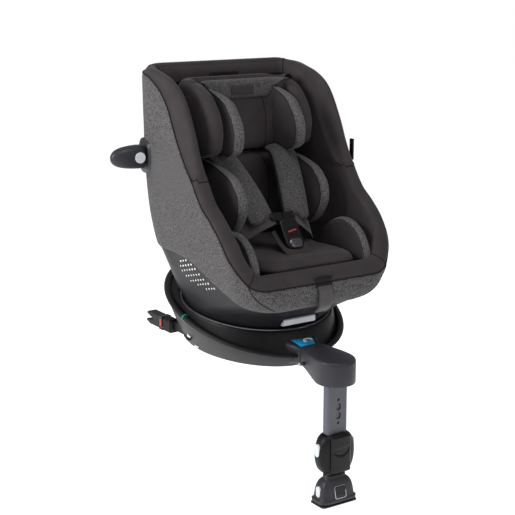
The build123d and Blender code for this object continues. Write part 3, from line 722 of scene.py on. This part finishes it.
def hip_wing(word, side):
    """A padded wing beside the hips: a rounded plate on edge with a flecked band round its rim."""
    outline = np.array([(-70, 236), (-84, 262), (-112, 290), (-150, 308), (-190, 306), (-224, 286),
                        (-244, 256), (-250, 228), (-238, 220), (-150, 219), (-80, 220)])
    closed = np.vstack([outline[-1:], outline, outline[:2]])
    curve = np.array([between(*closed[k - 1:k + 3], t) for k in range(1, len(closed) - 2)
                      for t in np.linspace(0, 1, 8, endpoint=False)])
    middle = curve.mean(axis=0)
    from_middle = curve - middle
    reach = np.linalg.norm(from_middle, axis=1)[:, None]
    half = 10
    sections = [(-half - 3, 0.2), (-half - 2, 0.6)]
    for turn in np.linspace(0, math.pi, 17):
        sections.append((-half * math.cos(turn), 1 - 9 * (1 - math.sin(turn) ** 0.7) / reach))
    sections += [(half + 2, 0.6), (half + 3, 0.2)]
    rows = []
    for x, scale in sections:
        rows.append([(side * 146 + x, y, z) for y, z in middle + from_middle * scale])
    rows = np.array(rows) * MM
    piece = skin(f"hip_wing_{word}", rows, [CHARCOAL, HEATHER], caps=(True, True))
    columns = len(curve)
    piece.data.polygons.foreach_set("material_index", [
        int(2 <= i // columns < len(rows) - 4) for i in range(len(piece.data.polygons))
    ])
    soft(face_outward(piece), "seat", 0.75, "charcoal_fabric")
    # Pipings round the band, drawn as near-black cords of painted seam shade.
    for k, row in enumerate((3, len(rows) - 4)):
        shade_seam_line(f"hip_wing_piping_{word}_{k + 1}", np.vstack([rows[row], rows[row][:1]]), 0.9)


hip_wing("right", -1)
hip_wing("left", 1)

# seam lines down the back of the inserts, drawn near-black as painted seam shade
for name, grid, body, x in (("head_insert_back", head_insert_grid, "headrest", 66 * MM),
                            ("body_insert_back", body_insert_grid, "seat", 74 * MM)):
    inner = grid[:, PAD_PATH + PAD_CAP - 1: 2 * PAD_PATH + PAD_CAP - 1]
    level = inner[len(inner) // 2]
    for word, side in (("right", -1), ("left", 1)):
        column = int(np.argmin(np.abs(level[:, 0] - side * x) - level[:, 1] * 0.02))
        shade_seam_line(f"{name}_seam_{word}", inner[2:-2, column], 0.9, body=body)


# ---------------------------------------------------------------- base
BASE_FOOT = (131 * MM, 200 * MM)
RIM_HALF = (198 * MM, 224 * MM)
RIM_Y, RIM_Z, RIM_SLOPE = -15 * MM, 107 * MM, 0.3
SWIVEL_Z, SWIVEL_TILT = 110 * MM, math.radians(9.4)


def base_point(angle, t, inset=0.0, lift=0.0):
    """A point of the base's flared side: t runs 0..1 from the floor to the rim."""
    c, d = np.cos(angle), np.sin(angle)
    half_x = BASE_FOOT[0] + (RIM_HALF[0] - BASE_FOOT[0]) * t - inset
    half_y = BASE_FOOT[1] + (RIM_HALF[1] - BASE_FOOT[1]) * t - inset
    y = RIM_Y * t + half_y * d
    top = RIM_Z + RIM_SLOPE * (RIM_Y + RIM_HALF[1] * d - RIM_Y)
    return np.stack([half_x * c, y, top * t + lift], axis=-1)


def swivel_circle(angle, radius, offset):
    """Points of a circle about the swivel axis, at an offset along it."""
    c, d = np.cos(angle), np.sin(angle)
    lean, rise = math.sin(SWIVEL_TILT), math.cos(SWIVEL_TILT)
    y = SWIVEL_Y + radius * d * rise - offset * lean
    z = SWIVEL_Z + radius * d * lean + offset * rise
    return np.stack([radius * c, y, z], axis=-1)


base_angles = np.linspace(0, 2 * math.pi, 240, endpoint=False)
LIP = 8 * MM                             # half width of the rounded lip


def base_body():
    """The flared skirt with its rounded lip, and the dark deck that runs in to the turntable."""
    skirt = [base_point(base_angles, 0.0, 5 * MM), base_point(base_angles, 0.02, 1.5 * MM)]
    skirt += [base_point(base_angles, t, -2.5 * MM * math.sin(math.pi * t))
              for t in np.linspace(0.05, 0.95, 26)]
    for turn in np.linspace(0, math.pi, 14):
        skirt.append(base_point(base_angles, 1.0, LIP * (1 - math.cos(turn)), LIP * math.sin(turn) - LIP))
    skirt.append(base_point(base_angles, 1.0, 2 * LIP + 1 * MM, -LIP - 4 * MM))
    # The skirt is the casing plastic, darkened as painted shade on its downward face.
    piece = skin("base_skirt", skirt, CASING_SHADED)
    fit(piece, "base", "casing_plastic", "base_shell")
    start = base_point(base_angles, 1.0, 2 * LIP - 0.5 * MM, -LIP - 2.5 * MM)
    edge = swivel_circle(base_angles, 175.5 * MM, 0.5 * MM)
    deck = [start]
    for t in np.linspace(0, 1, 14)[1:]:
        ease = t * t * (3 - 2 * t) * 0.6 + t * 0.4
        row = start + (edge - start) * t
        row[:, 2] = start[:, 2] + (edge[:, 2] - start[:, 2]) * ease
        deck.append(row)
    deck.append(swivel_circle(base_angles, 174.4 * MM, 0.2 * MM))
    deck.append(swivel_circle(base_angles, 174.2 * MM, -8 * MM))
    deck.append(swivel_circle(base_angles, 178 * MM, -24 * MM))
    floor_of_bowl = skin("base_deck", deck, BASIN)
    fit(floor_of_bowl, "base", "black_plastic")


def base_nose():
    """The nose that carries the leg, flared into the skirt and the deck."""
    rows = []
    for t in np.linspace(0, 1, 20):
        y = (-178 - 63 * t) * MM
        flare = (1 - t) ** 2.2
        half = (31 + 46 * flare) * MM
        top = (60.5 - 4 * t + 12 * flare) * MM
        low = (14 - 10 * flare) * MM
        section = superellipse(half, (top - low) / 2, 5.5, (0, (top + low) / 2), y, 72)
        rows.append([(x, y, z) for x, z, _ in section])
    piece = skin("base_nose", rows, CASING, caps=(False, True))
    fit(face_outward(piece), "base", "casing_plastic")
    label = skin("leg_label", [[(x * MM, y * MM, z * MM) for x, y, z in row] for row in (
        ((-28, -199, 64.0), (27, -202, 63.4)), ((-28, -221, 61.2), (19, -221, 61.0)),
        ((-27, -241, 57.9), (12, -240, 58.0)),
    )], BLUE, round_columns=False)
    modifier(label, "SOLIDIFY", thickness=0.8 * MM, offset=1)
    fit(label, "base", "dark_panel")
    arrow = [(x * MM, y * MM, (61.7 + 0.16 * (y + 221)) * MM) for x, y in (
        (6 - 11 * math.cos(a), -222 + 8 * math.sin(a)) for a in np.linspace(-0.7, 3.4, 20))]
    thread("leg_label_arrow", arrow, 1.3 * MM, WHITE, "base")
    thread("leg_label_arrow_head", [np.array(arrow[0]) + np.array(d) * MM for d in (
        (-6, 2, 0), (0, 0, 0), (3, 6, 0))], 1.3 * MM, WHITE, "base")


def base_details():
    """Green alignment mark, the arm button's dark recess and the small oval under it."""
    angle = np.full(9, math.pi + 0.06)
    mark = np.vstack([
        base_point(angle[:2], np.array([0.86, 0.94]), -3 * MM),
        [base_point(angle[0], 1.0, LIP * (1 - math.cos(a)), LIP * math.sin(a) - LIP + 0.4 * MM)
         for a in np.linspace(0.2, math.pi - 0.2, 9)],
    ])
    thread("alignment_mark", mark, 1.5 * MM, GREEN, "base")
    for word, side in (("right", -1), ("left", 1)):
        for name, y, z, half_y, half_z, thick, material in (
                ("recess", 14, 39, 13, 11, 1.2, BLACK), ("oval", 6, 15, 9, 6, 2.0, BUTTON)):
            plate = rounded_plate(f"arm_{name}_{word}", half_y, half_z, min(half_z, 5), thick, material)
            x = 129.8 + 67 * z / 112
            stand(plate, (side * x, y, z), (0, -side * 0.5, side * 0.87), (side, 0, 0), (0, 0.87, 0.5))
            fit(plate, "base", "black_plastic" if name == "recess" else "light_button")


def isofix_details():
    """The ribbed block between each arm and its connector, and the red release mark."""
    for word, side in (("right", -1), ("left", 1)):
        rows = []
        for k, y in enumerate(np.linspace(108, 141.5, 15)):
            half = 12.5 - (1.2 if k % 3 == 0 else 0) - (1.5 if y > 140 else 0)
            loop = superellipse(half * MM, (half + 4) * MM, 6, (0, 0), 0, 64)
            rows.append([(side * 141 * MM + a, y * MM, 36 * MM + b) for a, b, _ in loop])
        block = skin(f"isofix_block_{word}", rows, BLACK, caps=(True, True))
        fit(face_outward(block), f"isofix_arm_{word}", "black_plastic")
        mark = rounded_plate(f"isofix_mark_{word}", 3, 8, 1, 0.9, RED)
        stand(mark, (side * 153.2, 150, 37), (0, 0, side), (side, 0, 0), (0, 1, 0))
        fit(mark, f"isofix_release_{word}", "black_plastic")


def vent_foam():
    """Pale foam seen through the cooling slots."""
    for word, right in (("right", True), ("left", False)):
        shares = np.linspace(0.36, 0.72, 24)
        shares = 1 - shares / 2 if right else shares / 2
        rows = [bucket(shares, np.full(24, level), 7.6 * MM) for level in np.linspace(0.168, 0.25, 12)]
        panel = skin(f"vent_foam_{word}", rows, FOAM, round_columns=False)
        modifier(panel, "SOLIDIFY", thickness=1.5 * MM, offset=0)
        fit(panel, "seat", "foam")


base_body()
base_nose()
base_details()
isofix_details()
vent_foam()


# ---------------------------------------------------------------- harness
def ribbon(name, line, width, thick, material, across=(1, 0, 0), corner=0, rows=40, power=4, crown=0):
    """A flat strap or long pad swept along points, with softly rounded edges and ends, in millimetres."""
    line = np.array(line, float)
    dense = [line[0]]
    ends = np.vstack([2 * line[0] - line[1], line, 2 * line[-1] - line[-2]])
    for k in range(1, len(ends) - 2):
        dense += [between(*ends[k - 1:k + 3], t) for t in np.linspace(0, 1, 24)[1:]]
    dense = np.array(dense)
    run = np.concatenate([[0], np.cumsum(np.linalg.norm(np.diff(dense, axis=0), axis=1))])
    total = run[-1]

    def at(distance):
        return np.array([np.interp(distance, run, dense[:, k]) for k in range(3)])

    angles = np.linspace(0, 2 * math.pi, 48, endpoint=False)
    cos, sin = np.cos(angles), np.sin(angles)
    grid = []
    for place in total * (0.5 - 0.5 * np.cos(np.linspace(0, math.pi, rows))):
        ahead, behind = at(min(place + 1, total)), at(max(place - 1, 0))
        heading = (ahead - behind) / np.linalg.norm(ahead - behind)
        side = np.array(across, float)
        side -= heading * side.dot(heading)
        side /= np.linalg.norm(side)
        normal = np.cross(heading, side)
        near = min(place, total - place)
        cut = corner - math.sqrt(max(corner**2 - (corner - near) ** 2, 0)) if near < corner else 0
        end = min(1, (near / (thick * 0.6)) ** 0.5) if corner else 1
        half, tall = max(width / 2 - cut, 0.2), thick / 2 * max(end, 0.05)
        u = half * np.abs(cos) ** (2 / power) * np.sign(cos)
        v = tall * np.abs(sin) ** (2 / 2.6) * np.sign(sin) - crown * (1 - (u / half) ** 2)
        grid.append(at(place) + side * u[:, None] + normal * v[:, None])
    grid = np.array(grid) * MM
    return face_outward(skin(name, grid, material, caps=(True, True))), grid


def harness():
    """Shoulder pads, webbing, lap straps, crotch strap and the adjuster's pull strap."""
    for word, side in (("right", -1), ("left", 1)):
        line = np.array([(84, 22, 449), (80, -14, 441), (70, -50, 408), (57, -88, 362), (48, -114, 322),
                         (46, -120, 308)]) * (side, 1, 1)
        pad, grid = ribbon(f"shoulder_pad_cover_{word}", line, 64, 13, HEATHER_SHADED, corner=12, rows=60,
                           crown=-5)
        soft(pad, "headrest", 0.7, "shoulder_fabric", f"shoulder_pad_{word}")
        # Seams and pipings on the pad, drawn as near-black cords of painted seam shade.
        for k, column in enumerate((30, 38, 42)):
            shade_seam_line(f"shoulder_pad_seam_{word}_{k + 1}", grid[3:-3, column], 0.9, body="headrest")
        for k, column in enumerate((0, 24)):
            shade_seam_line(f"shoulder_pad_piping_{word}_{k + 1}", grid[2:-2, column], 1.5, body="headrest")
        line = (np.array([(80, -14, 441), (70, -50, 408), (57, -88, 362), (49, -112, 326)]) + (0, 9, -8))
        under, _ = ribbon(f"shoulder_pad_under_{word}", line * (side, 1, 1), 58, 6, CHARCOAL, corner=10)
        soft(under, "headrest", 0.5, "charcoal_fabric")
        line = np.array([(60, -80, 362), (50, -102, 332), (36, -118, 316), (22, -128, 318)]) * (side, 1, 1)
        strap, _ = ribbon(f"shoulder_webbing_{word}", line, 36, 2, WEBBING, across=(1, 0.1, 0.35 * side))
        fit(strap, "seat", "webbing")
        line = np.array([(112, -84, 262), (96, -98, 280), (70, -112, 298), (44, -125, 314),
                         (24, -129, 322)]) * (side, 1, 1)
        strap, _ = ribbon(f"lap_webbing_{word}", line, 34, 2, WEBBING, across=(0, 0.45, 0.9))
        fit(strap, "seat", "webbing", *(["lap_straps"] if side < 0 else []))
    strap, _ = ribbon("crotch_webbing", [(0, -174, 245), (0, -178, 251), (0, -175, 262), (0, -167, 272)],
                      38, 2.4, WEBBING)
    fit(strap, "seat", "webbing", "crotch_strap")
    pad, _ = ribbon("crotch_pad", [(0, -200, 250), (0, -184, 257), (0, -158, 271), (0, -132, 292)],
                    66, 7, CHARCOAL, corner=9)
    soft(pad, "seat", 0.5, "charcoal_fabric")
    pull, _ = ribbon("adjuster_pull_strap", [
        (0, -276, 199), (0, -288.5, 195), (0, -291.5, 176), (0, -290, 156), (0, -274, 140)],
        33, 3, WEBBING, power=8)
    fit(pull, "seat", "webbing", "adjuster_strap")
    # Near-black strips of painted shade where the strap slot and the adjuster opening lead into the cover:
    # they stand in for the shadow inside each opening.
    for name, y, z, half, width in (("strap_slot", -284.5, 200, 22, 9),
                                    ("adjuster_opening", -283, 214, 23, 8)):
        line = [(x, y, z + 1.5 * math.cos(x / 14)) for x in (-half, 0, half)]
        opening, _ = ribbon(name, line, width, 3, SEAM_SHADE_CORD, across=(0, -0.3, 1), corner=4)
        fit(opening, "seat", "black_plastic")


def buckle_trim():
    """The buckle's dark face and glossy nose, and the red band and ribs on its button."""
    origin, up, out = Vector((0, -156, 284)), Vector((0, 0.5593, 0.829)), Vector((0, -0.829, 0.5593))
    axes = Matrix(((1, 0, 0), up, out)).transposed().to_4x4()
    place = Matrix.Scale(MM, 4) @ Matrix.Translation(origin) @ axes
    for name, centre_y, lift, half_x, half_y, radius, thick, material, slot in (
        ("buckle_frame_cover", 0, 10.4, 23, 36, 14, 4.0, BLACK_SMOOTH, "buckle_plastic"),
        ("buckle_nose", -25, 11.4, 17, 12, 10, 7.5, NOSE, "steel"),
    ):
        rows = []
        for rise, inset in ((0, 0), (0.35, 0), (0.7, 0.06), (0.9, 0.2), (1.0, 0.5)):
            shrink = inset * half_x * 0.6
            rows.append(rounded_loop((0, centre_y), (half_x - shrink, half_y - shrink),
                                     max(radius - shrink, 1), lift + rise * thick, 64))
        piece = face_outward(skin(name, rows, material, caps=(True, True)))
        piece.data.transform(place)
        fit(piece, "seat", slot)
    band = [place @ Vector((x, 4 + 1.4 * math.sin(x * 0.2), 15.4)) for x in range(-11, 12, 2)]
    thread("buckle_red_band", band, 1.6 * MM, RED, "buckle_button")
    for k, y in enumerate((-5, 12)):
        rib = [place @ Vector((x, y, 14.9)) for x in (-11, 0, 11)]
        thread(f"buckle_button_rib_{k + 1}", rib, 0.7 * MM, BLACK_SMOOTH, "buckle_button")


harness()
buckle_trim()


# ---------------------------------------------------------------- support leg
LEG_Y = -329                             # middle of the leg, in millimetres


def bracket_cover():
    """The smooth casing over the leg's top: a round front with a domed top, drawn back to the nose."""
    half = 43
    front = [(half * math.cos(a), LEG_Y + half * math.sin(a)) for a in np.linspace(math.pi, 2 * math.pi, 40)]
    side = [(half - 12 * t * t * (3 - 2 * t), LEG_Y + 85 * t) for t in np.linspace(0, 1, 22)[1:]]
    outline = np.array(front + side + [(-x, y) for x, y in side[::-1]])
    middle = np.array([0, -310])
    rows = []
    for share, scale, dome in ((0, 0.93, 0), (0.02, 0.985, 0), (0.06, 1, 0), (0.5, 1, 0), (0.86, 1, 0),
                               (0.93, 0.992, 0), (0.975, 0.965, 0), (1, 0.92, 0), (1, 0.8, 1.6), (1, 0.6, 2.6),
                               (1, 0.35, 3.2), (1, 0.1, 3.4)):
        x, y = (middle + (outline - middle) * scale).T
        low = np.interp(y, [-372, -318, -296, -262, -244], [-2, -2, 4, 14, 19])
        top = np.interp(y, [-372, -340, -300, -244], [50, 52, 54.5, 57])
        rows.append(np.stack([x, y, low + (top - low) * share + dome], axis=1) * MM)
    piece = skin("leg_bracket_cover", rows, CASING, caps=(True, True))
    fit(face_outward(piece), "leg", "casing_plastic", "leg_bracket")
    for word, side in (("right", -1), ("left", 1)):
        screw = rounded_plate(f"bracket_screw_{word}", 4, 4, 4, 1, BLACK)
        stand(screw, (side * 33.4, -262, 26), (0, 0, side), (side, 0, 0), (0, 1, 0))
        fit(screw, "leg", "black_plastic")


def height_adjuster():
    """The barrel round the leg tubes, with a flatter front panel and its smiling grip groove."""
    rows = []
    for t in np.linspace(-1, 1, 44):
        swell = math.sqrt(max(1 - t * t, 0))
        rows.append(superellipse(22 + 25 * swell, 12.5 + 10 * min(1, swell * 1.5), 2.9,
                                 (0, LEG_Y), -158 + 45 * t))
    piece = skin("height_adjuster_casing", np.array(rows) * MM, BLACK, caps=(True, True))
    fit(face_outward(piece), "leg", "black_plastic", "leg_adjuster_housing")
    panel = []
    for z in np.linspace(-197, -117, 40):
        row = []
        for x in np.linspace(-25, 25, 48):
            groove, ledge = 0, 0
            if abs(x) < 20:
                smile = -150 - 9 * (1 - (x / 20) ** 2)
                groove = 2.2 * math.exp(-((z - smile) / 2) ** 2)
                ledge = 1.2 if smile < z < -143 else 0
            edge = min(1, (25 - abs(x)) / 2.5, (z + 197.5) / 2.5, (-116.5 - z) / 2.5)
            row.append((x, -352.4 - 1.6 * edge**0.5 + groove + ledge + 0.003 * x * x, z))
        panel.append(row)
    front = skin("height_adjuster_front", np.array(panel) * MM, BLACK_SMOOTH, round_columns=False)
    modifier(front, "SOLIDIFY", thickness=2 * MM, offset=1)
    fit(front, "leg", "black_plastic")


def foot():
    """The foot's casing: rounded shoulders, flat flared front and a flange at the bottom."""
    rows = [superellipse(half_x, half_y, power, (0, LEG_Y), z) for z, half_x, half_y, power in (
        (-266, 45, 25, 5), (-265.6, 47, 26, 5), (-259, 47.6, 26, 5), (-257.8, 44.6, 25, 5),
        (-255, 43, 24.4, 4.6), (-246, 42.2, 23.6, 4.4), (-236, 40.6, 22.4, 4.2), (-228, 38.4, 20.8, 4),
        (-221, 34.4, 18.8, 3.8), (-217, 30, 16.6, 3.5), (-214.4, 26.4, 13.6, 3.4), (-212, 25.8, 13, 3.4),
        (-206, 25.2, 12.6, 3.4),
    )]
    piece = skin("foot_cover", np.array(rows) * MM, CASING, caps=(True, True))
    fit(face_outward(piece), "leg_extension", "casing_plastic", "foot_casing")
    line = [(x, -352.9 + 0.22 * (z + 243), z) for x, z, _ in rounded_loop((0, -243), (14, 13), 4, 0, 64)]
    thread("indicator_frame", np.array(line) * MM, 0.6 * MM, BUTTON, "leg_extension", closed=True)
    for name, x, material in (("green", -5.5, GREEN), ("red", 5.5, RED)):
        mark = rounded_plate(f"indicator_{name}", 2.6, 2.0, 1, 0.8, material)
        stand(mark, (x, -352, -237), (1, 0, 0), (0, 0, -1), (0, 1, 0))
        fit(mark, "leg_extension", "dark_panel")


bracket_cover()
height_adjuster()
foot()


# ---------------------------------------------------------------- side pod
def sideways(name, sections, centre, material):
    """A closed form along X through squarish sections (x, half y, half z, power), in millimetres."""
    rows = []
    for x, half_y, half_z, power in sections:
        loop = superellipse(half_y, half_z, power, centre, 0)
        rows.append([(x, y, z) for y, z, _ in loop])
    return face_outward(skin(name, np.array(rows) * MM, material, caps=(True, True)))


def pod():
    """The side pod as one smooth tapering form with a rounded tip, and its flared socket."""
    centre = (95, 444)
    piece = sideways("side_pod_cover", (
        (-219.4, 21, 26, 4), (-232, 21, 26, 3.8), (-250, 20.6, 25.4, 3.4), (-268, 19, 23.6, 3.0),
        (-282, 16.6, 20.6, 2.6), (-292, 12.6, 15.8, 2.3), (-298, 7.6, 9.6, 2.1), (-300, 2.4, 3.0, 2),
    ), centre, CASING)
    modifier(piece, "SUBSURF", levels=1, render_levels=1)
    fit(piece, "side_pod", "black_plastic", "side_pod")
    socket = sideways("pod_socket_flange", (
        (-209.5, 33, 40, 3.6), (-212.4, 32, 39, 3.6), (-214.4, 28.6, 35, 3.6), (-216, 26, 31.6, 3.6),
        (-219, 24, 29, 3.6), (-219.2, 22, 27, 3.6),
    ), centre, CASING)
    fit(socket, "seat", "casing_plastic", "pod_socket")


pod()


# ---------------------------------------------------------------- CAD pieces that keep their shape
def finish_cad(node, material, bevel=0.0, segments=3, angle=35):
    """Give a CAD node its material and, where it is moulded, soft edges."""
    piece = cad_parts[node]
    piece.data.materials.clear()
    piece.data.materials.append(material)
    if bevel:
        soften(piece, bevel, segments, angle)


for node, material, bevel in (           # bevels in millimetres
    ("base_bottom_plate", BLACK, 0), ("base_screws", STEEL, 0), ("leg_mount_lug", STEEL, 0),
    ("bearing_race", BLACK, 0), ("isofix_guides", BLACK, 0), ("leg_hinge_pin", STEEL, 0),
    ("leg_outer_tube", TUBE, 0), ("leg_inner_tube", TUBE, 0), ("foot_indicator", BLACK_SMOOTH, 0.6),
    ("foot_side_caps", BUTTON, 1), ("foot_sole", RUBBER, 1), ("turntable", BASIN, 0),
    ("turntable_trim_ring", SILVER, 0), ("recline_saddle", CASING_SHADED, 0), ("recline_handle", BUTTON, 1),
    ("seat_lower_shell", CASING_SHADED, 0), ("seat_floor", BLACK, 0), ("buckle_housing", BLACK_SMOOTH, 3),
    ("strap_guide", BLACK, 1), ("buckle_button", BLACK_SMOOTH, 1.5), ("adjuster_button", BLACK, 1),
    ("headrest_shell", BLACK, 0), ("headrest_release", BLACK, 1), ("pod_button", BUTTON, 1),
):
    finish_cad(node, material, bevel * MM)
for word in ("right", "left"):
    for node, material, bevel in (
        ("isofix_arm", BLACK, 0.5), ("isofix_connector", CASING_SHADED, 1.5), ("isofix_hook", STEEL, 0.4),
        ("isofix_release", BLACK_SMOOTH, 1), ("isofix_adjust_button", BUTTON, 0.8),
        ("leg_button", BUTTON, 1.5), ("swivel_release", BLACK_SMOOTH, 1), ("tongue", BLACK_SMOOTH, 0.6),
    ):
        finish_cad(f"{node}_{word}", material, bevel * MM)


# ---------------------------------------------------------------- stage, light and camera
def stage_floor():
    """A plain pale floor under the foot."""
    z = float(cad_box[0][2])
    paint = Shader("floor_paint", Roughness=0.9, Base_Color=(0.9, 0.9, 0.9, 1), Specular_IOR_Level=0.1,
                   Emission_Color=(1, 1, 1, 1), Emission_Strength=0.68).material
    plane = mesh("floor", [(-9, -9, z), (9, -9, z), (9, 9, z), (-9, 9, z)], [(0, 1, 2, 3)], [paint])


def softbox(name, place, target, size, power):
    """A square area light that looks at a point."""
    lamp = bpy.data.lights.new(name, "AREA")
    lamp.energy = power
    lamp.size = size
    holder = bpy.data.objects.new(name, lamp)
    holder.location = place
    holder.rotation_mode = "QUATERNION"
    holder.rotation_quaternion = (Vector(target) - Vector(place)).to_track_quat("-Z", "Y")
    bpy.context.scene.collection.objects.link(holder)


def studio():
    """A pale world, seen as white, with three soft lights, the strongest from the child's right."""
    world = bpy.data.worlds.new("studio")
    bpy.context.scene.world = world
    world.use_nodes = True
    tree = world.node_tree
    sky = tree.nodes["Background"]
    sky.inputs["Color"].default_value = (1, 1, 1, 1)
    seen = tree.nodes.new("ShaderNodeLightPath").outputs["Is Camera Ray"]
    strength = tree.nodes.new("ShaderNodeMapRange")
    strength.inputs["To Min"].default_value = 0.37
    strength.inputs["To Max"].default_value = 1.0
    tree.links.new(seen, strength.inputs["Value"])
    tree.links.new(strength.outputs["Result"], sky.inputs["Strength"])
    softbox("key", (-2.3, 0.25, 1.35), (0, 0, 0.3), 1.2, 54)
    softbox("fill", (0.5, -2.2, 1.3), (0, 0, 0.35), 1.5, 6)
    softbox("top", (-0.3, -1.0, 2.3), (0, 0, 0.4), 1.0, 17)


def photo_camera():
    """The camera at the photograph's viewing angle."""
    azimuth, elevation, distance = math.radians(-33.61), math.radians(13.27), 2.787
    back = Vector((
        math.sin(azimuth) * math.cos(elevation), -math.cos(azimuth) * math.cos(elevation), math.sin(elevation)
    ))
    right = Vector((math.cos(azimuth), math.sin(azimuth), 0))
    up = back.cross(right)
    target = Vector((0, -0.055, 0.2)) - right * 0.01288 + up * 0.01364
    lens = bpy.data.cameras.new("camera")
    lens.lens, lens.sensor_width = 86.4, 36
    camera = bpy.data.objects.new("camera", lens)
    camera.matrix_world = Matrix.Translation(target + back * distance) @ Matrix(
        (right, up, back)).transposed().to_4x4()
    bpy.context.scene.collection.objects.link(camera)
    bpy.context.scene.camera = camera


stage_floor()
studio()
photo_camera()
bpy.context.scene.view_settings.view_transform = "Standard"
